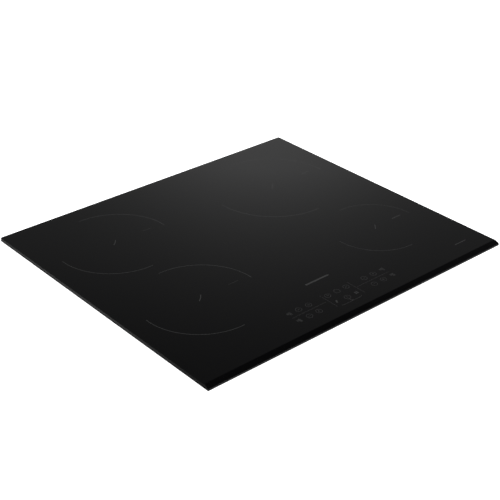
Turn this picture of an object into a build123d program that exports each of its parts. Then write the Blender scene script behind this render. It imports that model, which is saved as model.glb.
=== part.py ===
from build123d import *
from math import sqrt
import os

# Built-in induction hob, 60 cm class.
# Frame: +X to the right, front edge at -Y, +Z up. z = 0 is the underside of the base tray,
# x = y = 0 is the plan centre of the glass. Millimetres.

os.makedirs("parts", exist_ok=True)

# ---- glass plate
glass_width = 580.0
glass_depth = 510.0
glass_thickness = 4.0
glass_corner = 2.5
glass_arris = 0.5
bevel_width = 9.5
bevel_land = 0.9
overall_height = 54.0

# ---- foam seal under the rim and silicone bond to the rails
seal_thickness = 2.0
seal_width = 8.0
seal_inset = 0.3
bond_thickness = 0.5
bond_width = 8.0

# ---- bearing of the glass round the worktop cut-out, and the room left round the body in it
worktop_bearing = 10.0
cutout_gap_side = 4.0
cutout_gap_front = 6.0

# ---- steel rails bonded to the glass, and the base tray screwed inside them
sheet = 1.0
rail_flange = 14.0
rail_skirt = 12.0
rail_fit = 0.3
tray_fold = 2.0
tray_head_gap = 0.5

# ---- sheet metal screws, hexagon heads
screw_radius = 1.9
screw_head_across = 7.0
screw_head_height = 1.6
screw_length = 6.0
screw_hole_fit = 0.1
end_screw_x = 185.0

# ---- pockets under the tray and the swivel clamps that fold into them
pocket_length = 74.0
pocket_width = 30.5
pocket_height = 17.0
pocket_gap = 62.7
clamp_width = 18.0
clamp_reach = 50.0
clamp_thickness = 2.0
clamp_lip = 3.0
clamp_gap = 0.3
clamp_height = 8.5
clamp_corner = 5.0
pivot_radius = 2.5
pivot_fit = 0.08
pivot_inset = 13.0
pivot_head_across = 8.0
pivot_head_height = 3.5

# ---- louvres in the front and rear walls, intake slots under the blowers
louvre_width = 62.0
louvre_height = 5.0
louvre_depth = 3.0
louvre_lip = 1.6
louvre_pitch = 8.0
louvre_rows = 3
louvre_z = 20.0
intake_slot_width = 5.0
intake_pitch = 9.0
intake_rows = 6
rib_over = 12.0
rib_width = 10.0
rib_depth = 1.5
rib_pitch = 76.0

# ---- cooking zones: winding radius as a share of the room for the coils, gap to the skirt at the
# side, gap to the rear wall or to the touch control, and number of ferrite bars
zones = {
    "rear_left": {"share": 0.217, "side_gap": 22.0, "end_gap": 18.7, "bars": 8},
    "front_left": {"share": 0.217, "side_gap": 22.0, "end_gap": 6.0, "bars": 8},
    "rear_right": {"share": 0.2532, "side_gap": 22.5, "end_gap": 17.7, "bars": 10},
    "front_right": {"share": 0.1748, "side_gap": 25.0, "end_gap": 9.5, "bars": 6},
}
winding_sides = 36
mica_sides = 12
mica_thickness = 1.0
winding_height = 4.0
winding_bore = 20.0
former_height = 5.0
former_hub = 22.0
former_web = 1.0
former_wall = 1.6
bar_width = 12.0
bar_fit = 0.2
hub_bore = 9.0
hub_sides = 8
sensor_radius = 5.0
sensor_fit = 0.3

# ---- sprung coil carriers
carrier_gap = 0.3
carrier_sheet = 1.5
carrier_flange = 4.0
carrier_width = {"left": 200.0, "right": 230.0}
carrier_side_gap = 12.0
carrier_rear_gap = 12.7
carrier_front_gap = 2.0
support_height = 26.0
support_width = 16.0
support_inset_x = 25.0
support_inset_y = 12.0
tongue_width = 8.0
tongue_fit = 0.3
tongue_inset = 8.0
tongue_over = 2.5
leaf_span = 56.0
leaf_width = 10.0
leaf_thickness = 0.8

# ---- inverter boards
board_thickness = 1.6
board_height = 6.0
board_width = 152.0
board_front_gap = 22.0
board_rear_gap = 25.0
standoff_across = 6.0
standoff_inset = 6.0
sink_width = 62.0
sink_inset = 15.0
sink_base = 4.0
sink_fins = 9
sink_fin = 1.4
sink_height = 14.0
device_width = 16.0
device_length = 20.0
device_height = 4.6
device_count = 5
duct_wall = 1.5
duct_clear = 3.0
capacitor_width = 16.0
capacitor_length = 30.0
capacitor_height = 20.0
capacitor_pitch = 36.0
capacitor_count = 4
choke_radius = 15.0
choke_bore = 6.0
choke_height = 14.0
choke_sides = 16

# ---- blowers
blower_size = 84.0
blower_height = 24.0
blower_wall = 1.6
blower_corner = 10.0
blower_gap = 3.0
blower_foot = 2.0
chamber_wall = 4.0
chamber_sides = 24
intake_lip = 11.0
outlet_inset = 12.0
rotor_gap = 4.0
blade_length = 12.0
rotor_plate = 1.2
rotor_clear = 2.0
hub_radius = 9.0
blade_count = 11
blade_thickness = 1.5
blade_sweep = 20.0
blade_bow = 3.3
shaft_radius = 2.0
shaft_fit = 0.05
hub_height = 9.0

# ---- touch control under the front of the glass
control_width = 236.0
control_depth = 56.0
control_x = -3.0
control_gap = 4.7
control_wall = 1.6
control_z = 38.0
control_rim = 5.0
control_leg = 8.0
key_radius = 3.0
key_column_x = (-96.5, -77.5, -59.0, -21.5, -3.0, 16.0, 53.0, 72.0, 90.5)
key_row_offset = (11.0, -10.0)
display_width = 12.0
display_length = 19.0
display_height = 6.0
display_x = (-40.5, 35.0)

# ---- mains side
mains_board_width = 86.0
mains_board_depth = 130.0
mains_x = -15.0
mains_gap = 119.7
terminal_width = 62.0
terminal_depth = 20.0
terminal_height = 22.0
terminal_ways = 5
terminal_wall = 3.0
terminal_gap = 37.7
inlet_radius = 11.0
inlet_z = 18.0
cover_width = 90.0
cover_depth = 34.0
cover_lap = 5.0
cover_gap = 23.7
ribbon_width = 16.0
ribbon_thickness = 0.8
ribbon_fit = 1.0
ribbon_reach = 6.4
ribbon_floor = 4.0

# ---- levels and edges worked out from the values above
glass_z = overall_height - glass_thickness
worktop_z = glass_z - seal_thickness
body_x = glass_width / 2 - worktop_bearing - cutout_gap_side
body_y = glass_depth / 2 - worktop_bearing - cutout_gap_front
rail_z = glass_z - bond_thickness
tray_width = 2 * (body_x - sheet - rail_fit)
tray_depth = 2 * (body_y - sheet - rail_fit)
wall_y = tray_depth / 2
tray_top = rail_z - sheet - tray_head_gap
screw_z = rail_z - rail_skirt / 2 - sheet
pocket_x = tray_width / 2 - pocket_width / 2
pocket_y = wall_y - pocket_gap
pivot_x = tray_width / 2 - pivot_inset
clamp_top = clamp_height + clamp_thickness
mica_z = glass_z - carrier_gap - mica_thickness
winding_z = mica_z - winding_height
former_z = winding_z - former_height
carrier_z = former_z - carrier_sheet
support_top = sheet + support_height
board_top = board_height + board_thickness
sink_z = board_top + device_height
duct_width = sink_width + 2 * (duct_clear + duct_wall)
duct_top = sink_z + sink_base + sink_height + duct_clear + duct_wall
blower_z = sheet + blower_foot
blower_top = blower_z + blower_height
chamber_radius = blower_size / 2 - chamber_wall
intake_radius = chamber_radius - intake_lip
outlet_width = blower_size - 2 * outlet_inset
rotor_radius = chamber_radius - rotor_gap
rotor_inner = rotor_radius - blade_length
cover_top = 3 * sheet
sides = {"left": -1, "right": 1}
corners = {"front_left": (-1, -1), "front_right": (1, -1), "rear_left": (-1, 1), "rear_right": (1, 1)}

# ---- places in plan, each from the wall or the piece that it stands beside
control_y = control_gap + control_depth / 2 - wall_y
control_back = control_y + control_depth / 2
key_row_y = (control_y + key_row_offset[0], control_y + key_row_offset[1])
carrier_back = wall_y - carrier_rear_gap
carrier_front = control_back + carrier_front_gap
carrier_depth = carrier_back - carrier_front
carrier_y = (carrier_back + carrier_front) / 2
carrier_x = {
    side: sign * (body_x - carrier_side_gap - carrier_width[side] / 2)
    for side, sign in sides.items()
}
support_length = {side: carrier_width[side] - 2 * support_inset_x for side in sides}
support_y = carrier_depth / 2 - support_inset_y
blower_y = carrier_y + support_y - support_width / 2 - blower_gap - blower_size / 2
board_back = blower_y - blower_size / 2 - board_rear_gap
board_front = carrier_y - support_y + support_width / 2 + board_front_gap
board_depth = board_back - board_front
board_y = (board_back + board_front) / 2
sink_length = board_depth - 2 * sink_inset
rib_length = board_depth + 2 * rib_over
mains_y = wall_y - mains_gap
terminal_y = wall_y - terminal_gap
cover_y = wall_y - cover_gap
coil_room = wall_y - control_back
for name, zone in zones.items():
    side = name.split("_")[1]
    zone["radius"] = zone["share"] * coil_room
    zone["x"] = sides[side] * (body_x - zone["side_gap"] - zone["radius"])
    if name.startswith("rear"):
        zone["y"] = wall_y - zone["end_gap"] - zone["radius"]
    else:
        zone["y"] = control_back + zone["end_gap"] + zone["radius"]


def write(piece, name):
    piece.label = name
    export_step(piece, f"parts/{name}.step")


# ---------------------------------------------------------------- glass and rim
with BuildPart() as glass_top:
    with BuildSketch(Plane.XY.offset(glass_z)):
        RectangleRounded(glass_width, glass_depth, glass_corner)
    extrude(amount=glass_thickness)
    # polished bevel along the front edge, with a narrow land left below it
    with BuildSketch(Plane.YZ.offset(-glass_width / 2)):
        with BuildLine():
            Polyline(
                (-glass_depth / 2, glass_z + bevel_land),
                (-glass_depth / 2 + bevel_width, overall_height),
                (-glass_depth / 2 + bevel_width, overall_height + glass_thickness),
                (-glass_depth / 2 - bevel_width, overall_height + glass_thickness),
                (-glass_depth / 2 - bevel_width, glass_z + bevel_land),
                close=True,
            )
        make_face()
    extrude(amount=glass_width, mode=Mode.SUBTRACT)
    rim = glass_top.faces().sort_by(Axis.Z)[-1].edges()
    chamfer(rim.sort_by(Axis.Y)[1:], glass_arris)
write(glass_top.part, "glass_top")

# four strips of foam tape, butted at the corners
seal_span_x = glass_width - 2 * seal_inset
seal_span_y = glass_depth - 2 * seal_inset - 2 * seal_width
with BuildPart() as rim_seal:
    with BuildSketch(Plane.XY.offset(worktop_z)):
        with Locations((0, glass_depth / 2 - seal_inset - seal_width / 2)):
            Rectangle(seal_span_x, seal_width)
        with Locations((0, seal_inset + seal_width / 2 - glass_depth / 2)):
            Rectangle(seal_span_x, seal_width)
        with Locations((seal_inset + seal_width / 2 - glass_width / 2, 0)):
            Rectangle(seal_width, seal_span_y)
        with Locations((glass_width / 2 - seal_inset - seal_width / 2, 0)):
            Rectangle(seal_width, seal_span_y)
    extrude(amount=seal_thickness)
write(rim_seal.part, "rim_seal")

# silicone beads between the glass and the rails
bond_x = body_x - rail_flange / 2
bond_y = body_y - rail_flange / 2
with BuildPart() as rail_bond:
    with BuildSketch(Plane.XY.offset(rail_z)):
        with GridLocations(0, 2 * bond_y, 1, 2):
            Rectangle(2 * (body_x - rail_flange) - bond_width, bond_width)
        with GridLocations(2 * bond_x, 0, 2, 1):
            Rectangle(bond_width, 2 * body_y - bond_width)
    extrude(amount=bond_thickness)
write(rail_bond.part, "rail_bond")


# ---------------------------------------------------------------- rails round the body
def angle_rail(length, screw_places):
    """Folded angle along X: flange under the glass, skirt on the outer side at y = 0."""
    with BuildPart() as rail:
        with BuildSketch(Plane.YZ.offset(-length / 2)):
            with BuildLine():
                Polyline(
                    (0, rail_z - rail_skirt),
                    (0, rail_z),
                    (rail_flange, rail_z),
                    (rail_flange, rail_z - sheet),
                    (sheet, rail_z - sheet),
                    (sheet, rail_z - rail_skirt),
                    close=True,
                )
            make_face()
        extrude(amount=length)
        fillet(rail.edges().filter_by(Axis.X).group_by(Axis.Z)[-1].sort_by(Axis.Y)[0], sheet)
        for place in screw_places:
            with BuildSketch(Plane.XZ):
                with Locations((place, screw_z)):
                    Circle(screw_radius + screw_hole_fit)
            extrude(amount=-2 * sheet, mode=Mode.SUBTRACT)
    return rail.part


end_length = 2 * (body_x - rail_flange - rail_fit)
side_length = 2 * body_y
front_rail = angle_rail(end_length, (-end_screw_x, end_screw_x)).moved(Location((0, -body_y, 0)))
rear_rail = front_rail.rotate(Axis.Z, 180)
side_rail = angle_rail(side_length, ()).moved(Location((0, -body_x, 0)))
write(front_rail, "front_rail")
write(rear_rail, "rear_rail")
write(side_rail.rotate(Axis.Z, -90), "left_rail")
write(side_rail.rotate(Axis.Z, 90), "right_rail")


# ---------------------------------------------------------------- base tray
with BuildPart() as base_tray:
    with BuildSketch():
        Rectangle(tray_width, tray_depth)
    extrude(amount=tray_top)
    fillet(base_tray.faces().sort_by(Axis.Z)[0].edges(), tray_fold)
    with BuildSketch(Plane.XY.offset(sheet)):
        Rectangle(tray_width - 2 * sheet, tray_depth - 2 * sheet)
    extrude(amount=tray_top, mode=Mode.SUBTRACT)
    # notches that the clamp pockets are welded into
    with GridLocations(2 * pocket_x - sheet, 2 * pocket_y, 2, 2):
        Box(
            pocket_width + sheet,
            pocket_length + 2 * sheet,
            pocket_height + sheet,
            align=(Align.CENTER, Align.CENTER, Align.MIN),
            mode=Mode.SUBTRACT,
        )
    # stiffening ribs pressed up into the floor
    with Locations((0, board_y, 0)):
        with GridLocations(rib_pitch, 0, 2, 1):
            Box(rib_width, rib_length, rib_depth + sheet, align=(Align.CENTER, Align.CENTER, Align.MIN))
            Box(
                rib_width - 2 * sheet,
                rib_length - 2 * sheet,
                rib_depth,
                align=(Align.CENTER, Align.CENTER, Align.MIN),
                mode=Mode.SUBTRACT,
            )
    # intake slots below the blowers
    with BuildSketch():
        for side in sides:
            for row in range(intake_rows):
                offset_y = (row - (intake_rows - 1) / 2) * intake_pitch
                slot_length = 2 * sqrt(intake_radius**2 - offset_y**2)
                with Locations((carrier_x[side], blower_y + offset_y)):
                    Rectangle(slot_length, intake_slot_width)
    extrude(amount=sheet, mode=Mode.SUBTRACT)
    # louvres, hooded outwards and open downwards
    louvre_places = []
    for side in sides:
        for row in range(louvre_rows):
            louvre_places.append((carrier_x[side], louvre_z + (row - 1) * louvre_pitch))
    for facing in (-1, 1):
        for place_x, place_z in louvre_places:
            with BuildSketch(Plane.YZ.offset(place_x - louvre_width / 2)):
                with BuildLine():
                    Polyline(
                        (facing * (wall_y - sheet), place_z + louvre_height),
                        (facing * wall_y, place_z + louvre_height),
                        (facing * (wall_y + louvre_depth), place_z),
                        (facing * (wall_y - sheet), place_z),
                        close=True,
                    )
                make_face()
            extrude(amount=louvre_width)
            with BuildSketch(Plane.YZ.offset(place_x - louvre_width / 2 + sheet)):
                with BuildLine():
                    Polyline(
                        (facing * (wall_y - 2 * sheet), place_z + louvre_height - sheet),
                        (facing * wall_y, place_z + louvre_height - louvre_lip),
                        (facing * (wall_y + louvre_depth - sheet), place_z - sheet),
                        (facing * (wall_y - 2 * sheet), place_z),
                        close=True,
                    )
                make_face()
            extrude(amount=louvre_width - 2 * sheet, mode=Mode.SUBTRACT)
    # cable inlet in the rear wall
    with BuildSketch(Plane.XZ.offset(-wall_y)):
        with Locations((mains_x, inlet_z)):
            Circle(inlet_radius)
    extrude(amount=2 * sheet, mode=Mode.SUBTRACT)
    # opening below the terminal block
    with Locations((mains_x, cover_y, 0)):
        Box(
            cover_width - 2 * cover_lap,
            cover_depth - 2 * cover_lap,
            sheet,
            align=(Align.CENTER, Align.CENTER, Align.MIN),
            mode=Mode.SUBTRACT,
        )
    # holes for the rail screws
    with BuildSketch(Plane.XZ.offset(-body_y)):
        with Locations((-end_screw_x, screw_z), (end_screw_x, screw_z)):
            Circle(screw_radius + screw_hole_fit)
    extrude(amount=2 * body_y, mode=Mode.SUBTRACT)

# the folded sheet is kept in flat pieces: divided where the folds begin, and across
# the tray at both ends of every clamp notch
floor_x = tray_width / 2 - tray_fold
floor_y = wall_y - tray_fold
notch_end = pocket_length / 2 + sheet
band_edges = [
    -floor_y,
    -pocket_y - notch_end,
    -pocket_y + notch_end,
    pocket_y - notch_end,
    pocket_y + notch_end,
    floor_y,
]


def tray_piece(low, high):
    """The part of the tray between two corners in plan."""
    with BuildPart() as piece:
        add(base_tray.part)
        with Locations(((low[0] + high[0]) / 2, (low[1] + high[1]) / 2, 0)):
            Box(high[0] - low[0], high[1] - low[1], 2 * tray_top, mode=Mode.INTERSECT)
    return piece.part.solid()


tray_floor_list = []
tray_wall_list = []
for low_y, high_y in zip(band_edges, band_edges[1:]):
    tray_floor_list.append(tray_piece((-floor_x, low_y), (floor_x, high_y)))
    tray_wall_list.append(tray_piece((floor_x, low_y), (tray_width, high_y)))
    tray_wall_list.append(tray_piece((-tray_width, low_y), (-floor_x, high_y)))
tray_wall_list.append(tray_piece((-tray_width, floor_y), (tray_width, 2 * floor_y)))
tray_wall_list.append(tray_piece((-tray_width, -2 * floor_y), (tray_width, -floor_y)))
write(Compound(children=tray_floor_list), "base_tray")
write(Compound(children=tray_wall_list), "tray_walls")

# raised pockets for the clamps, open at the side and below
with BuildPart() as clamp_pockets:
    with GridLocations(2 * pocket_x - sheet, 2 * pocket_y, 2, 2):
        Box(
            pocket_width + sheet,
            pocket_length + 2 * sheet,
            pocket_height + sheet,
            align=(Align.CENTER, Align.CENTER, Align.MIN),
        )
    with GridLocations(2 * pocket_x, 2 * pocket_y, 2, 2):
        Box(
            pocket_width,
            pocket_length,
            pocket_height,
            align=(Align.CENTER, Align.CENTER, Align.MIN),
            mode=Mode.SUBTRACT,
        )
write(clamp_pockets.part, "clamp_pockets")

with BuildPart() as terminal_cover:
    with Locations((mains_x, cover_y, sheet)):
        Box(cover_width, cover_depth, 2 * sheet, align=(Align.CENTER, Align.CENTER, Align.MIN))
    chamfer(terminal_cover.faces().sort_by(Axis.Z)[-1].edges(), sheet)
    with Locations((mains_x, cover_y, 0)):
        Box(
            cover_width - 2 * cover_lap - 2 * rail_fit,
            cover_depth - 2 * cover_lap - 2 * rail_fit,
            sheet,
            align=(Align.CENTER, Align.CENTER, Align.MIN),
        )
write(terminal_cover.part, "terminal_cover")


# ---------------------------------------------------------------- screws
def hex_screw(plane, head_across, head_height, radius, length):
    """Hexagon head standing on the plane's outer side, shank going the other way."""
    with BuildPart() as screw:
        with BuildSketch(plane):
            RegularPolygon(head_across / 2, 6, major_radius=False)
        extrude(amount=head_height)
        with BuildSketch(plane):
            RegularPolygon(radius, 6)
        extrude(amount=-length)
    return screw.part


rail_screw_list = []
for facing in (-1, 1):
    for place in (-end_screw_x, end_screw_x):
        seat = Plane((place, facing * body_y, screw_z), x_dir=(1, 0, 0), z_dir=(0, facing, 0))
        rail_screw_list.append(
            hex_screw(seat, screw_head_across, screw_head_height, screw_radius, screw_length)
        )
write(Compound(children=rail_screw_list), "rail_screws")

pivot_list = []
for side_x, side_y in corners.values():
    pivot_at = (side_x * pivot_x, side_y * (pocket_y + pocket_length / 2 - pivot_inset))
    with BuildPart() as pivot_screw:
        with BuildSketch(Plane.XY.offset(clamp_height - clamp_gap - pivot_head_height)):
            with Locations(pivot_at):
                RegularPolygon(pivot_head_across / 2, 6, major_radius=False)
        extrude(amount=pivot_head_height)
        with BuildSketch(Plane.XY.offset(clamp_height - clamp_gap)):
            with Locations(pivot_at):
                Circle(pivot_radius)
        extrude(amount=pocket_height - clamp_height + clamp_gap)
    pivot_list.append(pivot_screw.part)
write(Compound(children=pivot_list), "clamp_pivots")


# ---------------------------------------------------------------- swivel clamps
for name, (side_x, side_y) in corners.items():
    pivot_y = side_y * (pocket_y + pocket_length / 2 - pivot_inset)
    tip_y = pivot_y - side_y * clamp_reach
    with BuildPart() as clamp:
        with BuildSketch(Plane.XY.offset(clamp_height)):
            with Locations((side_x * pivot_x, (pivot_y + side_y * clamp_width / 2 + tip_y) / 2)):
                Rectangle(clamp_width, clamp_reach + clamp_width / 2)
        extrude(amount=clamp_thickness)
        chamfer(clamp.edges().filter_by(Axis.Z), clamp_corner)
        # toe turned up to bite under the worktop
        with BuildSketch(Plane.XY.offset(clamp_top)):
            with Locations((side_x * pivot_x, tip_y + side_y * clamp_thickness / 2)):
                Rectangle(clamp_width - 2 * clamp_corner, clamp_thickness)
        extrude(amount=clamp_lip)
        with BuildSketch(Plane.XY.offset(clamp_height)):
            with Locations((side_x * pivot_x, pivot_y)):
                Circle(pivot_radius + pivot_fit)
        extrude(amount=clamp_thickness, mode=Mode.SUBTRACT)
    write(clamp.part, f"clamp_{name}")


# ---------------------------------------------------------------- coils
for name, zone in zones.items():
    centre = (zone["x"], zone["y"])
    radius = zone["radius"]
    arm_length = radius - former_hub
    arm_middle = (radius + former_hub) / 2

    # flat winding of stranded wire
    with BuildPart() as winding:
        with BuildSketch(Plane.XY.offset(winding_z)):
            with Locations(centre):
                RegularPolygon(radius, winding_sides)
                RegularPolygon(winding_bore, mica_sides, mode=Mode.SUBTRACT)
        extrude(amount=winding_height)
    write(winding.part, f"coil_winding_{name}")

    # moulded former: hub and one channelled arm for each ferrite bar
    with BuildPart() as former:
        with BuildSketch(Plane.XY.offset(former_z)):
            with Locations(centre):
                RegularPolygon(former_hub, zone["bars"])
                with PolarLocations(radius / 2, zone["bars"]):
                    Rectangle(radius, bar_width + 2 * (bar_fit + former_wall))
                RegularPolygon(hub_bore, hub_sides, mode=Mode.SUBTRACT)
        extrude(amount=former_height)
        with BuildSketch(Plane.XY.offset(former_z)):
            with Locations(centre):
                with PolarLocations(arm_middle, zone["bars"]):
                    Rectangle(arm_length, bar_width + 2 * bar_fit)
        extrude(amount=former_height - former_web, mode=Mode.SUBTRACT)
    write(former.part, f"coil_former_{name}")


# ---------------------------------------------------------------- parts shared by the coils of one side
for side in sides:
    side_zones = [zone for name, zone in zones.items() if name.endswith(side)]
    with BuildPart() as ferrites:
        with BuildSketch(Plane.XY.offset(former_z)):
            for zone in side_zones:
                with Locations((zone["x"], zone["y"])):
                    with PolarLocations((zone["radius"] + former_hub) / 2, zone["bars"]):
                        Rectangle(zone["radius"] - former_hub - 2 * bar_fit, bar_width)
        extrude(amount=former_height - former_web - bar_fit)
    write(ferrites.part, f"ferrite_bars_{side}")

    with BuildPart() as mica:
        with BuildSketch(Plane.XY.offset(mica_z)):
            for zone in side_zones:
                with Locations((zone["x"], zone["y"])):
                    RegularPolygon(zone["radius"], mica_sides)
                    RegularPolygon(hub_bore, hub_sides, mode=Mode.SUBTRACT)
        extrude(amount=mica_thickness)
    write(mica.part, f"mica_sheets_{side}")


# ---------------------------------------------------------------- sprung carriers
for side in sides:
    side_zones = [zone for name, zone in zones.items() if name.endswith(side)]
    middle = (carrier_x[side], carrier_y)
    tongue_x = support_length[side] / 2 - tongue_inset

    with BuildPart() as carrier:
        with BuildSketch(Plane.XY.offset(carrier_z)):
            with Locations(middle):
                Rectangle(carrier_width[side], carrier_depth)
        extrude(amount=carrier_sheet)
        with BuildSketch(Plane.XY.offset(carrier_z - carrier_flange)):
            with Locations(middle):
                with GridLocations(carrier_width[side] - carrier_sheet, 0, 2, 1):
                    Rectangle(carrier_sheet, carrier_depth)
        extrude(amount=carrier_flange)
        with BuildSketch(Plane.XY.offset(carrier_z)):
            for zone in side_zones:
                with Locations((zone["x"], zone["y"])):
                    RegularPolygon(hub_bore, hub_sides)
            with Locations(middle):
                with GridLocations(2 * tongue_x, 2 * support_y, 2, 2):
                    Rectangle(tongue_width + 2 * tongue_fit, sheet + 2 * tongue_fit)
        extrude(amount=carrier_sheet, mode=Mode.SUBTRACT)
    write(carrier.part, f"coil_carrier_{side}")

    # heat sensor in the hub of each coil, its head against the glass
    with BuildPart() as sensors:
        with BuildSketch(Plane.XY.offset(carrier_z)):
            for zone in side_zones:
                with Locations((zone["x"], zone["y"])):
                    RegularPolygon(hub_bore - sensor_fit, hub_sides)
        extrude(amount=former_z + former_height - carrier_z)
        with BuildSketch(Plane.XY.offset(former_z + former_height)):
            for zone in side_zones:
                with Locations((zone["x"], zone["y"])):
                    RegularPolygon(sensor_radius, hub_sides)
        extrude(amount=winding_height + mica_thickness)
    write(sensors.part, f"heat_sensors_{side}")

    # cross channels on the tray floor, with a guide tongue near each end
    with BuildPart() as supports:
        for end in (-1, 1):
            row_y = carrier_y + end * support_y
            with BuildSketch(Plane.YZ.offset(carrier_x[side] - support_length[side] / 2)):
                with Locations((row_y, sheet)):
                    Rectangle(support_width, support_height, align=(Align.CENTER, Align.MIN))
                    Rectangle(
                        support_width - 2 * sheet,
                        support_height - sheet,
                        align=(Align.CENTER, Align.MIN),
                        mode=Mode.SUBTRACT,
                    )
            extrude(amount=support_length[side])
            with BuildSketch(Plane.XY.offset(support_top)):
                with Locations((carrier_x[side] - tongue_x, row_y), (carrier_x[side] + tongue_x, row_y)):
                    Rectangle(tongue_width, sheet)
            extrude(amount=carrier_z + carrier_sheet + tongue_over - support_top)
    write(supports.part, f"carrier_supports_{side}")

    # arched leaf spring on each channel
    with BuildPart() as leaves:
        for end in (-1, 1):
            row_y = carrier_y + end * support_y
            with BuildSketch(Plane.XZ.offset(-row_y - leaf_width / 2)):
                with BuildLine():
                    left_x = carrier_x[side] - leaf_span / 2
                    right_x = carrier_x[side] + leaf_span / 2
                    top = ThreePointArc(
                        (left_x, support_top),
                        (carrier_x[side], carrier_z),
                        (right_x, support_top),
                    )
                    toe = Line(top @ 1, (right_x - 2 * leaf_thickness, support_top))
                    inner = ThreePointArc(
                        toe @ 1,
                        (carrier_x[side], carrier_z - leaf_thickness),
                        (left_x + 2 * leaf_thickness, support_top),
                    )
                    Line(inner @ 1, top @ 0)
                make_face()
            extrude(amount=leaf_width)
    write(leaves.part, f"carrier_springs_{side}")


# ---------------------------------------------------------------- inverters, one each side
for side, sign in sides.items():
    x0 = carrier_x[side]

    with BuildPart() as power_board:
        with Locations((x0, board_y, board_height)):
            Box(board_width, board_depth, board_thickness, align=(Align.CENTER, Align.CENTER, Align.MIN))
    write(power_board.part, f"power_board_{side}")

    with BuildPart() as devices:
        with Locations((x0, board_y, board_top)):
            with GridLocations(0, sink_length / device_count, 1, device_count):
                Box(device_width, device_length, device_height, align=(Align.CENTER, Align.CENTER, Align.MIN))
    write(devices.part, f"power_transistors_{side}")

    # extruded heat sink: base with upright fins, flow along Y
    with BuildPart() as heat_sink:
        with BuildSketch(Plane.XZ.offset(-board_y - sink_length / 2)):
            with Locations((x0, sink_z)):
                Rectangle(sink_width, sink_base, align=(Align.CENTER, Align.MIN))
            with Locations((x0, sink_z + sink_base + sink_height / 2)):
                with GridLocations((sink_width - sink_fin) / (sink_fins - 1), 0, sink_fins, 1):
                    Rectangle(sink_fin, sink_height)
        extrude(amount=sink_length)
    write(heat_sink.part, f"heat_sink_{side}")

    # plastic duct from the blower over the fins, open at the front
    duct_start = board_y - sink_length / 2 - duct_clear
    duct_end = blower_y - blower_size / 2
    with BuildPart() as duct:
        with BuildSketch(Plane.XZ.offset(-duct_end)):
            with Locations((x0, board_top)):
                Rectangle(duct_width, duct_top - board_top, align=(Align.CENTER, Align.MIN))
                Rectangle(
                    duct_width - 2 * duct_wall,
                    duct_top - board_top - duct_wall,
                    align=(Align.CENTER, Align.MIN),
                    mode=Mode.SUBTRACT,
                )
        extrude(amount=duct_end - duct_start)
        fillet(duct.edges().filter_by(Axis.Y).group_by(Axis.Z)[-1], duct_wall)
    write(duct.part, f"air_duct_{side}")

    with BuildPart() as capacitors:
        with Locations((x0 + sign * (duct_width / 2 + capacitor_width), board_y, board_top)):
            with GridLocations(0, capacitor_pitch, 1, capacitor_count):
                Box(
                    capacitor_width,
                    capacitor_length,
                    capacitor_height,
                    align=(Align.CENTER, Align.CENTER, Align.MIN),
                )
    write(capacitors.part, f"film_capacitors_{side}")


# ---------------------------------------------------------------- blowers
# plan of one backward-curved blade, hub at the origin
with BuildSketch() as blade:
    with BuildLine():
        start = Vector(rotor_inner, 0)
        end = Vector(rotor_radius, 0).rotate(Axis.Z, -blade_sweep)
        bow = ((start + end) / 2).rotate(Axis.Z, -blade_bow)
        lift = Vector(0, blade_thickness)
        Polyline(start, bow, end, end + lift, bow + lift, start + lift, close=True)
    make_face()


for side in sides:
    x0 = carrier_x[side]
    rotor_z = blower_z + blower_wall + rotor_clear
    rotor_top = blower_top - blower_wall - rotor_clear

    # square scroll housing: intake below, outlet towards the duct, shaft under the lid
    with BuildPart() as housing:
        with BuildSketch(Plane.XY.offset(blower_z)):
            with Locations((x0, blower_y)):
                Rectangle(blower_size, blower_size)
        extrude(amount=blower_height)
        chamfer(housing.edges().filter_by(Axis.Z), blower_corner)
        with BuildSketch(Plane.XY.offset(blower_z + blower_wall)):
            with Locations((x0, blower_y)):
                RegularPolygon(chamber_radius, chamber_sides)
            with Locations((x0, blower_y - blower_size / 4)):
                Rectangle(outlet_width, blower_size / 2 + 2 * sheet)
        extrude(amount=blower_height - 2 * blower_wall, mode=Mode.SUBTRACT)
        with BuildSketch(Plane.XY.offset(blower_z)):
            with Locations((x0, blower_y)):
                RegularPolygon(intake_radius, chamber_sides)
        extrude(amount=blower_wall, mode=Mode.SUBTRACT)
        with BuildSketch(Plane.XY.offset(blower_top - blower_wall)):
            with Locations((x0, blower_y)):
                Circle(shaft_radius)
        extrude(amount=-(blower_height - 2 * blower_wall - rotor_clear))
        with BuildSketch(Plane.XY.offset(sheet)):
            with Locations((x0, blower_y)):
                with GridLocations(blower_size - 2 * blower_corner, blower_size - 2 * blower_corner, 2, 2):
                    RegularPolygon(standoff_across / 2, 6, major_radius=False)
        extrude(amount=blower_foot)
    write(housing.part, f"blower_housing_{side}")

    # impeller: back plate, hub on the shaft, ring of backward-curved blades
    with BuildPart() as rotor:
        with BuildSketch(Plane.XY.offset(rotor_top - rotor_plate)):
            with Locations((x0, blower_y)):
                RegularPolygon(rotor_radius, chamber_sides)
        extrude(amount=rotor_plate)
        with BuildSketch(Plane.XY.offset(rotor_top - rotor_plate - hub_height)):
            with Locations((x0, blower_y)):
                RegularPolygon(hub_radius, hub_sides)
        extrude(amount=hub_height)
        with BuildSketch(Plane.XY.offset(rotor_z)):
            with Locations((x0, blower_y)):
                with PolarLocations(0, blade_count):
                    add(blade.sketch)
        extrude(amount=rotor_top - rotor_plate - rotor_z)
        with BuildSketch(Plane.XY.offset(rotor_z)):
            with Locations((x0, blower_y)):
                Circle(shaft_radius + shaft_fit)
        extrude(amount=rotor_top - rotor_z, mode=Mode.SUBTRACT)
    write(rotor.part, f"blower_rotor_{side}")


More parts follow.
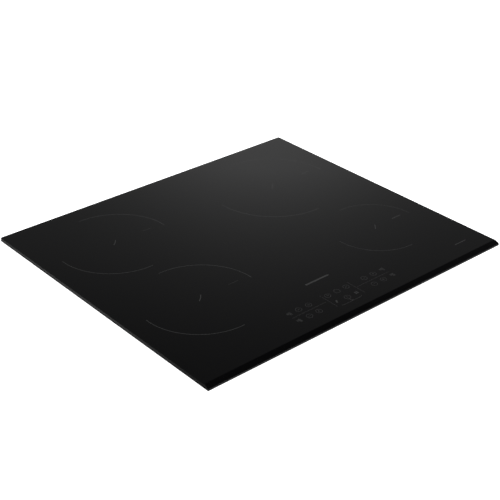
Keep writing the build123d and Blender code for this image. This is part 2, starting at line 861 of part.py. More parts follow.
# ---------------------------------------------------------------- board spacers
with BuildPart() as standoffs:
    with BuildSketch(Plane.XY.offset(sheet)):
        for side in sides:
            with Locations((carrier_x[side], board_y)):
                with GridLocations(board_width - 2 * standoff_inset, board_depth - 2 * standoff_inset, 2, 2):
                    RegularPolygon(standoff_across / 2, 6, major_radius=False)
        with Locations((mains_x, mains_y)):
            with GridLocations(
                mains_board_width - 2 * standoff_inset, mains_board_depth - 2 * standoff_inset, 2, 2
            ):
                RegularPolygon(standoff_across / 2, 6, major_radius=False)
    extrude(amount=board_height - sheet)
write(standoffs.part, "board_spacers")


# ---------------------------------------------------------------- mains side
with BuildPart() as mains_board:
    with Locations((mains_x, mains_y, board_height)):
        Box(
            mains_board_width,
            mains_board_depth,
            board_thickness,
            align=(Align.CENTER, Align.CENTER, Align.MIN),
        )
write(mains_board.part, "mains_board")

# toroidal chokes: one on each inverter board, a larger one on the mains board
choke_places = [(mains_x, mains_y + choke_radius, choke_radius + choke_bore)]
for side, sign in sides.items():
    choke_x = carrier_x[side] - sign * (duct_width / 2 + choke_radius + duct_clear)
    choke_places.append((choke_x, board_y + choke_radius, choke_radius))
with BuildPart() as chokes:
    with BuildSketch(Plane.XY.offset(board_top)):
        for place_x, place_y, place_radius in choke_places:
            with Locations((place_x, place_y)):
                RegularPolygon(place_radius, choke_sides)
                RegularPolygon(choke_bore, choke_sides, mode=Mode.SUBTRACT)
    extrude(amount=choke_height)
write(chokes.part, "toroid_chokes")

way_pitch = terminal_width / terminal_ways
with BuildPart() as terminal_block:
    with Locations((mains_x, terminal_y, cover_top)):
        Box(terminal_width, terminal_depth, terminal_height, align=(Align.CENTER, Align.CENTER, Align.MIN))
    with Locations((mains_x, terminal_y + terminal_depth / 2, cover_top + terminal_height / 2)):
        with GridLocations(way_pitch, 0, terminal_ways, 1):
            Box(way_pitch - terminal_wall, terminal_depth / 2, terminal_height / 2, mode=Mode.SUBTRACT)
write(terminal_block.part, "terminal_block")


# ---------------------------------------------------------------- touch control
with BuildPart() as control_carrier:
    with Locations((control_x, control_y, control_z)):
        Box(
            control_width,
            control_depth,
            control_wall + control_rim,
            align=(Align.CENTER, Align.CENTER, Align.MIN),
        )
    with Locations((control_x, control_y, control_z + control_wall)):
        Box(
            control_width - 2 * control_wall,
            control_depth - 2 * control_wall,
            control_rim,
            align=(Align.CENTER, Align.CENTER, Align.MIN),
            mode=Mode.SUBTRACT,
        )
    with Locations((control_x, control_y, sheet)):
        with GridLocations(control_width - 2 * control_leg, control_depth - 2 * control_leg, 2, 2):
            Box(control_leg, control_leg, control_z - sheet, align=(Align.CENTER, Align.CENTER, Align.MIN))
    # notch in the rear rim where the ribbon leaves
    with Locations((mains_x, control_y + control_depth / 2, control_z + control_wall + board_thickness)):
        Box(
            ribbon_width + 2 * ribbon_fit,
            ribbon_reach,
            control_rim,
            align=(Align.CENTER, Align.CENTER, Align.MIN),
            mode=Mode.SUBTRACT,
        )
write(control_carrier.part, "control_carrier")

control_board_z = control_z + control_wall
with BuildPart() as control_board:
    with Locations((control_x, control_y, control_board_z)):
        Box(
            control_width - 2 * control_wall - 2 * rail_fit,
            control_depth - 2 * control_wall - 2 * rail_fit,
            board_thickness,
            align=(Align.CENTER, Align.CENTER, Align.MIN),
        )
write(control_board.part, "control_board")

# sprung contacts that stand between the board and the glass, one below each key
contact_z = control_board_z + board_thickness
with BuildPart() as key_contacts:
    with BuildSketch(Plane.XY.offset(contact_z)):
        for key_x in key_column_x:
            for key_y in key_row_y:
                with Locations((key_x, key_y)):
                    RegularPolygon(key_radius, 6)
    extrude(amount=glass_z - contact_z)
write(key_contacts.part, "key_contacts")

with BuildPart() as displays:
    for place_x in display_x:
        for place_y in key_row_y:
            with Locations((place_x, place_y, contact_z)):
                Box(
                    display_width,
                    display_length,
                    display_height,
                    align=(Align.CENTER, Align.CENTER, Align.MIN),
                )
write(displays.part, "led_displays")

# flat ribbon from the control board down and back to the mains board
with BuildPart() as control_ribbon:
    with BuildSketch(Plane.YZ.offset(mains_x - ribbon_width / 2)):
        with BuildLine():
            Polyline(
                (control_back - ribbon_reach, contact_z + ribbon_thickness / 2),
                (control_back + ribbon_reach, contact_z + ribbon_thickness / 2),
                (control_back + ribbon_reach, ribbon_floor),
                (mains_y - mains_board_depth / 2 - standoff_inset, ribbon_floor),
                (mains_y - mains_board_depth / 2 - standoff_inset, board_top + ribbon_thickness / 2),
                (mains_y - mains_board_depth / 2 + standoff_inset, board_top + ribbon_thickness / 2),
            )
        trace(line_width=ribbon_thickness)
    extrude(amount=ribbon_width)
write(control_ribbon.part, "control_ribbon")
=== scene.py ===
import bmesh
import bpy
from math import asin, atan2, cos, pi, radians, sin
from mathutils import Matrix, Vector


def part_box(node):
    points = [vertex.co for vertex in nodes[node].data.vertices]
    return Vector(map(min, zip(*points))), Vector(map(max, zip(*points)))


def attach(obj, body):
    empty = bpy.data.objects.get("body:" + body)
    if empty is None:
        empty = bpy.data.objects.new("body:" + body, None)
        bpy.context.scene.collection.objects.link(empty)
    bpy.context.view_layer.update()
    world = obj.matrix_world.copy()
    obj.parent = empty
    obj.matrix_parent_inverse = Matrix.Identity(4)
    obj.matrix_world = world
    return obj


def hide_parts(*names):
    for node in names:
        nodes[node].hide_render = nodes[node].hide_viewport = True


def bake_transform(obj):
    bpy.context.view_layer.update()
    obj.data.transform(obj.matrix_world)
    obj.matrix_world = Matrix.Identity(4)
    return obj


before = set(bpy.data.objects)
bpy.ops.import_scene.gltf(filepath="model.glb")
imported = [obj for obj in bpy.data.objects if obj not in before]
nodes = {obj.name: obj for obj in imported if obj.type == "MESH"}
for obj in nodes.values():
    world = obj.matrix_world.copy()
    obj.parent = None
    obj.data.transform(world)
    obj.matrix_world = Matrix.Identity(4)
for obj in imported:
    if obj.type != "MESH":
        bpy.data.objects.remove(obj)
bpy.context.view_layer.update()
glassLow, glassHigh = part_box("glass_top")
glassTop = glassHigh.z
print("frame loaded,", len(nodes), "nodes")


# camera, in front and round to the left
camera = {
    "azimuth": -41.0,  # degrees, 0 looks along +Y
    "elevation": 29.9,
    "roll": 0.31,
    "distance": 1.807,
    "target": (-0.0207, -0.0247, 0.054),
    "lens": 85.42,  # millimetres
    "sensor": 36.0,
}


def placeCamera(look):
    data = bpy.data.cameras.new("camera")
    data.lens = look["lens"]
    data.sensor_width = look["sensor"]
    cam = bpy.data.objects.new("camera", data)
    turn, rise = radians(look["azimuth"]), radians(look["elevation"])
    back = Vector((sin(turn) * cos(rise), -cos(turn) * cos(rise), sin(rise)))
    facing = back.to_track_quat("Z", "Y").to_matrix().to_4x4()
    place = Matrix.Translation(Vector(look["target"]) + back * look["distance"])
    cam.matrix_world = place @ facing @ Matrix.Rotation(radians(look["roll"]), 4, "Z")
    bpy.context.scene.collection.objects.link(cam)
    bpy.context.scene.camera = cam


placeCamera(camera)
print("camera placed")


# node helpers
noiseSpread = (0.3, 0.7)  # where most of a noise texture's values lie
waveTurns = 20.0  # a wave texture turns by this many radians to the metre at scale 1


def addMath(tree, operation, first, second=None):
    node = tree.nodes.new("ShaderNodeMath")
    node.operation = operation
    for socket, value in zip(node.inputs, (first, second)):
        if value is None:
            continue
        if isinstance(value, (int, float)):
            socket.default_value = value
        else:
            tree.links.new(value, socket)
    return node.outputs[0]


def addRange(tree, value, fromLow, fromHigh, toLow, toHigh, smooth=False):
    node = tree.nodes.new("ShaderNodeMapRange")
    node.interpolation_type = "SMOOTHSTEP" if smooth else "LINEAR"
    sockets = ("From Min", "From Max", "To Min", "To Max")
    for name, number in zip(sockets, (fromLow, fromHigh, toLow, toHigh)):
        node.inputs[name].default_value = number
    tree.links.new(value, node.inputs["Value"])
    return node.outputs["Result"]


def addMix(tree, factor, first, second):
    node = tree.nodes.new("ShaderNodeMix")
    node.data_type = "RGBA"
    tree.links.new(factor, node.inputs["Factor"])
    for name, value in (("A_Color", first), ("B_Color", second)):
        socket = next(s for s in node.inputs if s.identifier == name)
        if isinstance(value, (tuple, list)):
            socket.default_value = (*value[:3], 1.0)
        else:
            tree.links.new(value, socket)
    return next(s for s in node.outputs if s.identifier == "Result_Color")


def addNoise(tree, coords, scale, detail=3.0, stretch=(1, 1, 1)):
    mapping = tree.nodes.new("ShaderNodeMapping")
    mapping.inputs["Scale"].default_value = stretch
    tree.links.new(coords, mapping.inputs["Vector"])
    noise = tree.nodes.new("ShaderNodeTexNoise")
    noise.inputs["Scale"].default_value = scale
    noise.inputs["Detail"].default_value = detail
    tree.links.new(mapping.outputs["Vector"], noise.inputs["Vector"])
    return noise.outputs["Fac"]


def splitXYZ(tree, vector):
    node = tree.nodes.new("ShaderNodeSeparateXYZ")
    tree.links.new(vector, node.inputs[0])
    return node.outputs


def splitColour(tree, colour):
    node = tree.nodes.new("ShaderNodeSeparateColor")
    tree.links.new(colour, node.inputs[0])
    return node.outputs


def addBump(tree, bsdf, height, look):
    bump = tree.nodes.new("ShaderNodeBump")
    bump.inputs["Strength"].default_value = look["bump"]
    bump.inputs["Distance"].default_value = look["depth"]
    tree.links.new(height, bump.inputs["Height"])
    tree.links.new(bump.outputs["Normal"], bsdf.inputs["Normal"])


def startMaterial(name, metallic=0.0, **sockets):
    material = bpy.data.materials.new(name)
    material.use_nodes = True
    tree = material.node_tree
    bsdf = tree.nodes["Principled BSDF"]
    bsdf.inputs["Metallic"].default_value = metallic
    for socket, value in sockets.items():
        bsdf.inputs[socket.replace("_", " ")].default_value = value
    coords = tree.nodes.new("ShaderNodeTexCoord").outputs["Object"]
    return material, tree, bsdf, coords


# plain finishes: two tones mixed by a texture, its grain also in the roughness and the bump
finishes = {
    "foamSeal": {
        "dark": (0.006, 0.006, 0.006), "light": (0.012, 0.012, 0.012),
        "rough": (0.85, 0.95), "scale": 900, "bump": 0.5, "depth": 0.0003, "shine": 0.15,
    },
    "siliconeBond": {
        "dark": (0.02, 0.02, 0.021), "light": (0.035, 0.035, 0.036),
        "rough": (0.4, 0.55), "scale": 120, "bump": 0.2, "depth": 0.0003,
    },
    "coatedSteel": {
        "dark": (0.018, 0.018, 0.019), "light": (0.028, 0.028, 0.03),
        "rough": (0.42, 0.58), "scale": 700, "bump": 0.25, "depth": 0.0001,
    },
    "zincScrew": {
        "dark": (0.42, 0.41, 0.37), "light": (0.66, 0.65, 0.58), "metallic": 1.0,
        "rough": (0.25, 0.42), "scale": 160, "bump": 0.1, "depth": 0.0001,
    },
    "springSteel": {
        "dark": (0.33, 0.33, 0.34), "light": (0.52, 0.52, 0.54), "metallic": 1.0,
        "rough": (0.22, 0.4), "scale": 60, "stretch": (14, 1, 14), "bump": 0.15, "depth": 0.00005,
    },
    "formerPlastic": {
        "dark": (0.6, 0.57, 0.5), "light": (0.72, 0.69, 0.62),
        "rough": (0.45, 0.6), "scale": 45, "bump": 0.12, "depth": 0.0002,
    },
    "ferrite": {
        "dark": (0.05, 0.05, 0.052), "light": (0.11, 0.11, 0.115),
        "rough": (0.35, 0.6), "scale": 500, "bump": 0.3, "depth": 0.0001,
    },
    "aluminiumPlate": {
        "dark": (0.62, 0.63, 0.64), "light": (0.8, 0.81, 0.82), "metallic": 1.0,
        "rough": (0.28, 0.42), "scale": 40, "stretch": (1, 22, 22), "bump": 0.1, "depth": 0.00005,
    },
    "aluminiumFins": {
        "dark": (0.58, 0.59, 0.6), "light": (0.77, 0.78, 0.79), "metallic": 1.0,
        "rough": (0.3, 0.45), "scale": 60, "stretch": (22, 1, 22), "bump": 0.1, "depth": 0.00005,
    },
    "sensorCeramic": {
        "dark": (0.74, 0.74, 0.71), "light": (0.86, 0.86, 0.83),
        "rough": (0.3, 0.45), "scale": 150, "bump": 0.1, "depth": 0.0001,
    },
    "blackPackage": {
        "dark": (0.014, 0.014, 0.015), "light": (0.028, 0.028, 0.029),
        "rough": (0.4, 0.55), "scale": 800, "bump": 0.3, "depth": 0.0001,
    },
    "greyPlastic": {
        "dark": (0.2, 0.205, 0.21), "light": (0.27, 0.275, 0.28),
        "rough": (0.42, 0.55), "scale": 300, "bump": 0.15, "depth": 0.0001,
    },
    "capacitorCase": {
        "dark": (0.035, 0.07, 0.2), "light": (0.055, 0.1, 0.27),
        "rough": (0.35, 0.5), "scale": 120, "bump": 0.1, "depth": 0.0001,
    },
    "blackPlastic": {
        "dark": (0.016, 0.016, 0.017), "light": (0.03, 0.03, 0.032),
        "rough": (0.38, 0.52), "scale": 350, "bump": 0.2, "depth": 0.0001,
    },
    "whitePlastic": {
        "dark": (0.7, 0.7, 0.67), "light": (0.82, 0.82, 0.79),
        "rough": (0.4, 0.52), "scale": 200, "bump": 0.1, "depth": 0.0001,
    },
    "conductiveRubber": {
        "dark": (0.03, 0.03, 0.03), "light": (0.07, 0.07, 0.07),
        "rough": (0.7, 0.85), "scale": 900, "bump": 0.4, "depth": 0.0001,
    },
}
plainGrain = {
    "detail": 4.0,
    "patchScale": 14.0,
    "patchDetail": 2.0,
    "spread": (0.7, 1.3),  # of the grain and the patches added up
}


def plainFinish(name, look):
    metallic, shine = look.get("metallic", 0.0), look.get("shine", 0.5)
    material, tree, bsdf, coords = startMaterial(name, metallic, Specular_IOR_Level=shine)
    stretch = look.get("stretch", (1, 1, 1))
    grain = addNoise(tree, coords, look["scale"], plainGrain["detail"], stretch)
    patches = addNoise(tree, coords, plainGrain["patchScale"], plainGrain["patchDetail"])
    tone = addRange(tree, addMath(tree, "ADD", grain, patches), *plainGrain["spread"], 0.0, 1.0)
    tree.links.new(addMix(tree, tone, look["dark"], look["light"]), bsdf.inputs["Base Color"])
    tree.links.new(addRange(tree, tone, 0.0, 1.0, *look["rough"]), bsdf.inputs["Roughness"])
    addBump(tree, bsdf, grain, look)
    return material


# galvanised sheet with its zinc flowers
galvanised = {
    "dark": (0.34, 0.35, 0.36),
    "light": (0.56, 0.57, 0.58),
    "flowerScale": 95.0,
    "flowerShare": 0.65,
    "swirlScale": 60.0,
    "swirlReach": 0.01,  # how far the swirl bends the flowers, metres
    "dustScale": 25.0,
    "dustDetail": 5.0,
    "dustShare": 0.5,
    "rough": (0.3, 0.5),
    "bump": 0.05,
    "depth": 0.0002,
}


def galvanisedFinish(look):
    material, tree, bsdf, coords = startMaterial("galvanisedSteel", 1.0)
    flowers = tree.nodes.new("ShaderNodeTexVoronoi")
    flowers.inputs["Scale"].default_value = look["flowerScale"]
    bend = tree.nodes.new("ShaderNodeVectorMath")
    bend.operation = "MULTIPLY_ADD"
    bend.inputs[1].default_value = [look["swirlReach"]] * 3
    swirl = tree.nodes.new("ShaderNodeTexNoise")
    swirl.inputs["Scale"].default_value = look["swirlScale"]
    tree.links.new(coords, swirl.inputs["Vector"])
    tree.links.new(swirl.outputs["Color"], bend.inputs[0])
    tree.links.new(coords, bend.inputs[2])
    tree.links.new(bend.outputs[0], flowers.inputs["Vector"])
    tone = splitColour(tree, flowers.outputs["Color"])
    flower = addMath(tree, "MULTIPLY", tone[0], look["flowerShare"])
    dust = addNoise(tree, coords, look["dustScale"], look["dustDetail"])
    shade = addMath(tree, "ADD", flower, addMath(tree, "MULTIPLY", dust, look["dustShare"]))
    tree.links.new(addMix(tree, shade, look["dark"], look["light"]), bsdf.inputs["Base Color"])
    tree.links.new(addRange(tree, tone[1], 0.0, 1.0, *look["rough"]), bsdf.inputs["Roughness"])
    addBump(tree, bsdf, flowers.outputs["Distance"], look)
    return material


# litz windings: turns of twisted copper strand round a centre, darker between the turns as painted
# shade
litz = {
    # painted shade between the turns: a darkened copper
    "gap": (0.06, 0.02, 0.01),
    "copper": (0.5, 0.2, 0.09),
    "metallic": 0.7,
    "pitch": 0.0036,  # from turn to turn, metres
    "wobble": 0.6,
    "wobbleScale": 4.0,
    "strandScale": 900.0,
    "strandDetail": 2.0,
    "strandTone": (0.6, 1.0),
    "rough": (0.25, 0.45),
    "bump": 0.6,
    "depth": 0.0008,
}


def litzFinish(name, centre, look):
    material, tree, bsdf, coords = startMaterial(name, look["metallic"])
    mapping = tree.nodes.new("ShaderNodeMapping")
    mapping.inputs["Location"].default_value = (-centre.x, -centre.y, 0.0)
    tree.links.new(coords, mapping.inputs["Vector"])
    rings = tree.nodes.new("ShaderNodeTexWave")
    rings.wave_type = "RINGS"
    rings.rings_direction = "Z"
    rings.inputs["Scale"].default_value = 2 * pi / (waveTurns * look["pitch"])
    rings.inputs["Distortion"].default_value = look["wobble"]
    rings.inputs["Detail Scale"].default_value = look["wobbleScale"]
    tree.links.new(mapping.outputs["Vector"], rings.inputs["Vector"])
    strand = addNoise(tree, coords, look["strandScale"], look["strandDetail"])
    strandTone = addRange(tree, strand, *noiseSpread, *look["strandTone"])
    tone = addMath(tree, "MULTIPLY", rings.outputs["Fac"], strandTone)
    # painted shade: darker copper where the rings fall between turns
    tree.links.new(addMix(tree, tone, look["gap"], look["copper"]), bsdf.inputs["Base Color"])
    tree.links.new(addRange(tree, strand, *noiseSpread, *look["rough"]), bsdf.inputs["Roughness"])
    addBump(tree, bsdf, tone, look)
    return material


# toroid chokes: enamelled wire wrapped round each core, darker between the wires as painted shade
choke = {
    # painted shade between the wires: a darkened copper
    "gap": (0.05, 0.02, 0.01),
    "copper": (0.55, 0.21, 0.08),
    "metallic": 0.7,
    # centre of each core and the turns round it
    "wraps": (((-0.015, 0.133), 60), ((0.0955, -0.005), 48), ((-0.1105, -0.005), 48)),
    "reach": 0.024,  # how far from its centre a core's pattern runs
    # the wave rises from the painted shade between the wires to the wire
    "wireBand": (-1.0, 0.6),  # part of the wave that rises from gap to wire
    "fleckScale": 400.0,
    "fleckDetail": 2.0,
    "rough": (0.22, 0.36),
    "bump": 0.6,
    "depth": 0.0006,
}


def chokeFinish(look):
    material, tree, bsdf, coords = startMaterial("chokeWinding", look["metallic"])
    alongX, alongY, _ = splitXYZ(tree, coords)
    tone = None
    for (centreX, centreY), count in look["wraps"]:
        x = addMath(tree, "SUBTRACT", alongX, centreX)
        y = addMath(tree, "SUBTRACT", alongY, centreY)
        away = addMath(tree, "MAXIMUM", addMath(tree, "ABSOLUTE", x), addMath(tree, "ABSOLUTE", y))
        here = addMath(tree, "LESS_THAN", away, look["reach"])
        turns = addMath(tree, "MULTIPLY", addMath(tree, "ARCTAN2", y, x), float(count))
        rising = addRange(tree, addMath(tree, "SINE", turns), *look["wireBand"], 0.0, 1.0)
        wire = addMath(tree, "MULTIPLY", here, rising)
        tone = wire if tone is None else addMath(tree, "ADD", tone, wire)
    # painted shade: darker copper between the wires
    tree.links.new(addMix(tree, tone, look["gap"], look["copper"]), bsdf.inputs["Base Color"])
    fleck = addNoise(tree, coords, look["fleckScale"], look["fleckDetail"])
    tree.links.new(addRange(tree, fleck, *noiseSpread, *look["rough"]), bsdf.inputs["Roughness"])
    addBump(tree, bsdf, tone, look)
    return material


# solder-masked board with rows of copper tracks below the mask
board = {
    "mask": (0.012, 0.09, 0.04),
    "track": (0.03, 0.17, 0.07),
    "trackScale": 110.0,
    "trackLength": 2.6,
    "trackGap": 0.09,
    "faintTrack": 0.55,
    "weaveScale": 600.0,
    "weaveDetail": 2.0,
    "rough": (0.22, 0.36),
    "bump": 0.25,
    "depth": 0.0001,
}


def boardFinish(look):
    material, tree, bsdf, coords = startMaterial("circuitBoard")
    tracks = tree.nodes.new("ShaderNodeTexBrick")
    tracks.inputs["Scale"].default_value = look["trackScale"]
    tracks.inputs["Mortar Size"].default_value = look["trackGap"]
    tracks.inputs["Brick Width"].default_value = look["trackLength"]
    for socket, grey in (("Color1", 1.0), ("Color2", look["faintTrack"]), ("Mortar", 0.0)):
        tracks.inputs[socket].default_value = (grey, grey, grey, 1.0)
    tree.links.new(coords, tracks.inputs["Vector"])
    colour = addMix(tree, tracks.outputs["Color"], look["mask"], look["track"])
    tree.links.new(colour, bsdf.inputs["Base Color"])
    weave = addNoise(tree, coords, look["weaveScale"], look["weaveDetail"])
    tree.links.new(addRange(tree, weave, *noiseSpread, *look["rough"]), bsdf.inputs["Roughness"])
    addBump(tree, bsdf, tracks.outputs["Fac"], look)
    return material


# mica: pale flakes pressed together
mica = {
    "dark": (0.48, 0.42, 0.3),
    "light": (0.68, 0.62, 0.5),
    "flakeScale": 420.0,
    "sheen": 0.2,
    "rough": (0.25, 0.5),
    "bump": 0.2,
    "depth": 0.0001,
}


def micaFinish(look):
    material, tree, bsdf, coords = startMaterial("micaSheet", Sheen_Weight=look["sheen"])
    flakes = tree.nodes.new("ShaderNodeTexVoronoi")
    flakes.inputs["Scale"].default_value = look["flakeScale"]
    tree.links.new(coords, flakes.inputs["Vector"])
    tone = splitColour(tree, flakes.outputs["Color"])
    tree.links.new(addMix(tree, tone[0], look["dark"], look["light"]), bsdf.inputs["Base Color"])
    tree.links.new(addRange(tree, tone[1], 0.0, 1.0, *look["rough"]), bsdf.inputs["Roughness"])
    addBump(tree, bsdf, flakes.outputs["Distance"], look)
    return material


# flat ribbon: wires side by side, running along Y, the valleys between them painted darker as shade
ribbon = {
    # painted shade in the valleys between the wires
    "paintedValleyShade": (0.3, 0.3, 0.31),
    "crest": (0.5, 0.5, 0.52),
    "pitch": 0.00127,  # from wire to wire, metres
    "grainScale": 200.0,
    "rough": (0.4, 0.5),
    "bump": 0.4,
    "depth": 0.0002,
}


def ribbonFinish(look):
    material, tree, bsdf, coords = startMaterial("ribbonCable")
    wires = tree.nodes.new("ShaderNodeTexWave")
    wires.bands_direction = "X"
    wires.inputs["Scale"].default_value = 2 * pi / (waveTurns * look["pitch"])
    tree.links.new(coords, wires.inputs["Vector"])
    # painted shade: darker in the valleys, lighter on the crests
    colour = addMix(tree, wires.outputs["Fac"], look["paintedValleyShade"], look["crest"])
    tree.links.new(colour, bsdf.inputs["Base Color"])
    grain = addNoise(tree, coords, look["grainScale"])
    tree.links.new(addRange(tree, grain, *noiseSpread, *look["rough"]), bsdf.inputs["Roughness"])
    addBump(tree, bsdf, wires.outputs["Fac"], look)
    return material


# black glass: polished top and front bevel, ground sides and rear, satin land under the bevel; the
# ground faces reflect less towards the front, a painted sheen faded along Y
glass = {
    "refraction": 1.5,
    "top": (0.0016, 0.0016, 0.0018),
    "topLift": 1.25,  # how much lighter a smear is
    "topRough": (0.035, 0.06),
    "smearScale": 9.0,
    "smearDetail": 4.0,
    "smearStretch": (1.0, 0.6, 1.0),
    "shine": 0.5,
    "ground": (0.008, 0.008, 0.0083),
    "groundSpread": (0.8, 1.2),
    "groundRough": 0.45,
    # painted sheen: the ground faces' specular level, low at the front and high at the rear
    "paintedEdgeSheen": (0.06, 0.3),  # at the front and at the rear
    "paintedSheenFade": (-0.24, -0.02),  # along Y, metres
    "groundDepth": 0.0006,  # how far in from the sides the grinding reaches
    "fineScale": 260.0,
    "fineDetail": 2.0,
    "bump": 0.3,
    "depth": 0.00005,
    "land": (0.004, 0.004, 0.0042),
    "landRough": 0.3,
    "landDepth": 0.00002,
}


def glassFinish(look):
    material, tree, bsdf, coords = startMaterial("blackGlass", IOR=look["refraction"])
    x, y, _ = splitXYZ(tree, coords)
    sideLine, rearLine = glassHigh.x - look["groundDepth"], glassHigh.y - look["groundDepth"]
    sides = addMath(tree, "GREATER_THAN", addMath(tree, "ABSOLUTE", x), sideLine)
    groundMask = addMath(tree, "MAXIMUM", sides, addMath(tree, "GREATER_THAN", y, rearLine))
    landMask = addMath(tree, "LESS_THAN", y, glassLow.y + look["landDepth"])
    smears = addNoise(tree, coords, look["smearScale"], look["smearDetail"], look["smearStretch"])
    fine = addNoise(tree, coords, look["fineScale"], look["fineDetail"])

    top = addMix(tree, smears, look["top"], [look["topLift"] * c for c in look["top"]])
    darkGround, lightGround = [[s * c for c in look["ground"]] for s in look["groundSpread"]]
    ground = addMix(tree, fine, darkGround, lightGround)
    colour = addMix(tree, groundMask, addMix(tree, landMask, top, look["land"]), ground)
    tree.links.new(colour, bsdf.inputs["Base Color"])

    rough = addRange(tree, smears, *noiseSpread, *look["topRough"])
    for mask, edgeRough in ((landMask, look["landRough"]), (groundMask, look["groundRough"])):
        rough = addMath(tree, "MAXIMUM", rough, addMath(tree, "MULTIPLY", mask, edgeRough))
    tree.links.new(rough, bsdf.inputs["Roughness"])

    # painted sheen: the ground faces reflect more towards the rear, faded along Y
    shine = addRange(tree, y, *look["paintedSheenFade"], *look["paintedEdgeSheen"])
    change = addMath(tree, "MULTIPLY", groundMask, addMath(tree, "SUBTRACT", shine, look["shine"]))
    tree.links.new(addMath(tree, "ADD", change, look["shine"]), bsdf.inputs["Specular IOR Level"])
    addBump(tree, bsdf, addMath(tree, "MULTIPLY", fine, groundMask), look)
    return material


# grey ceramic ink fired on the glass
ink = {
    "dark": (0.028, 0.028, 0.0285),
    "light": (0.041, 0.041, 0.0415),
    "speckleScale": 1500.0,
    "speckleDetail": 2.0,
    "rough": (0.18, 0.26),
    "bump": 0.2,
    "depth": 0.00001,
}


def inkFinish(look):
    material, tree, bsdf, coords = startMaterial("printedInk")
    speckle = addNoise(tree, coords, look["speckleScale"], look["speckleDetail"])
    tree.links.new(addMix(tree, speckle, look["dark"], look["light"]), bsdf.inputs["Base Color"])
    tree.links.new(addRange(tree, speckle, *noiseSpread, *look["rough"]), bsdf.inputs["Roughness"])
    addBump(tree, bsdf, speckle, look)
    return material


made = {name: plainFinish(name, look) for name, look in finishes.items()}
made["galvanisedSteel"] = galvanisedFinish(galvanised)
made["circuitBoard"] = boardFinish(board)
made["micaSheet"] = micaFinish(mica)
made["ribbonCable"] = ribbonFinish(ribbon)
made["chokeWinding"] = chokeFinish(choke)
made["blackGlass"] = glassFinish(glass)
made["printedInk"] = inkFinish(ink)
print("finishes made")


# which finish each carried-over node gets, by the longest start of its name
dressing = {
    "glass_top": "blackGlass",
    "rim_seal": "foamSeal",
    "rail_bond": "siliconeBond",
    "rail_screws": "zincScrew",
    "front_rail": "coatedSteel",
    "rear_rail": "coatedSteel",
    "left_rail": "coatedSteel",
    "right_rail": "coatedSteel",
    "base_tray": "galvanisedSteel",
    "tray_walls": "galvanisedSteel",
    "clamp_pockets": "galvanisedSteel",
    "terminal_cover": "galvanisedSteel",
    "carrier_supports": "galvanisedSteel",
    "clamp_pivots": "zincScrew",
    "clamp_": "springSteel",
    "carrier_springs": "springSteel",
    "coil_former": "formerPlastic",
    "ferrite_bars": "ferrite",
    "mica_sheets": "micaSheet",
    "heat_sensors": "sensorCeramic",
    "coil_carrier": "aluminiumPlate",
    "power_board": "circuitBoard",
    "mains_board": "circuitBoard",
    "control_board": "circuitBoard",
    "power_transistors": "blackPackage",
    "led_displays": "blackPackage",
    "heat_sink": "aluminiumFins",
    "air_duct": "greyPlastic",
    "film_capacitors": "capacitorCase",
    "blower_": "blackPlastic",
    "control_carrier": "blackPlastic",
    "board_spacers": "whitePlastic",
    "terminal_block": "whitePlastic",
    "key_contacts": "conductiveRubber",
    "control_ribbon": "ribbonCable",
    "toroid_chokes": "chokeWinding",
}


def dressNode(name, node):
    if name.startswith("coil_winding"):
        low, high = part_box(name)
        finish = litzFinish(f"litz_{name}", (low + high) / 2, litz)
    else:
        starts = [start for start in dressing if name.startswith(start)]
        finish = made[dressing[max(starts, key=len)]]
    node.data.materials.clear()
    node.data.materials.append(finish)


for nodeName, node in nodes.items():
    dressNode(nodeName, node)
print("nodes dressed")


# piece helpers
def newPiece(name, bm, material):
    mesh = bpy.data.meshes.new(name)
    bm.to_mesh(mesh)
    bm.free()
    mesh.materials.append(material)
    piece = bpy.data.objects.new(name, mesh)
    bpy.context.scene.collection.objects.link(piece)
    return piece


def vertsOf(result):
    return [item for item in result["geom"] if isinstance(item, bmesh.types.BMVert)]


def everything(bm):
    return bm.verts[:] + bm.edges[:] + bm.faces[:]


# leaf springs under the coil decks, their feet flat on the channels
leaf = {
    "wide": 0.01,
    "footWide": 0.0065,
    "thick": 0.0008,
    "steps": 32,
}


def leafStrip(bm, low, high, look):
    half, rise = (high.x - low.x) / 2, high.z - low.z
    radius = (half * half + rise * rise) / (2 * rise)
    reach = asin(half / radius)
    centre = Vector(((low.x + high.x) / 2, low.y + look["wide"] / 2, high.z - radius))
    toEnd = Matrix.Translation(centre) @ Matrix.Rotation(-reach, 4, "Y")
    upright = Matrix.Translation((0, 0, radius - look["thick"] / 2)) @ Matrix.Rotation(pi / 2, 4, "Y")
    size = Matrix.Diagonal((look["thick"], look["wide"], 1, 1))
    bmesh.ops.create_grid(bm, x_segments=1, y_segments=1, size=0.5, matrix=toEnd @ upright @ size)
    bmesh.ops.spin(
        bm, geom=everything(bm), cent=centre, axis=(0, 1, 0), dvec=(0, 0, 0),
        angle=2 * reach, steps=look["steps"],
    )
    for v in bm.verts:  # narrower towards the feet, which are flat below
        turn = atan2(v.co.x - centre.x, v.co.z - centre.z) / reach
        narrow = 1 + (look["footWide"] / look["wide"] - 1) * turn * turn
        v.co.y = centre.y + (v.co.y - centre.y) * narrow
        v.co.z = max(low.z, v.co.z)


def springPiece(side, look):
    node = f"carrier_springs_{side}"
    low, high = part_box(node)
    bm = bmesh.new()
    leafStrip(bm, low, high, look)
    second = bmesh.ops.duplicate(bm, geom=everything(bm))
    bmesh.ops.translate(bm, verts=vertsOf(second), vec=(0, high.y - low.y - look["wide"], 0))
    bmesh.ops.recalc_face_normals(bm, faces=bm.faces[:])
    piece = newPiece(f"leafSprings_{side}", bm, made["springSteel"])
    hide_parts(node)
    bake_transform(piece)


springPiece("left", leaf)
springPiece("right", leaf)
print("springs set")


# prints on the glass, their places and sizes in millimetres
inkHeight = 0.00003
ringSteps = 24
arcSteps = 48


def lineBand(bm, start, end, width):
    start, end = Vector((*start, 0)) / 1000, Vector((*end, 0)) / 1000
    across = (end - start).normalized().cross(Vector((0, 0, 1))) * width / 2000
    corners = (start - across, start + across, end + across, end - across)
    bm.faces.new([bm.verts.new(corner) for corner in corners])


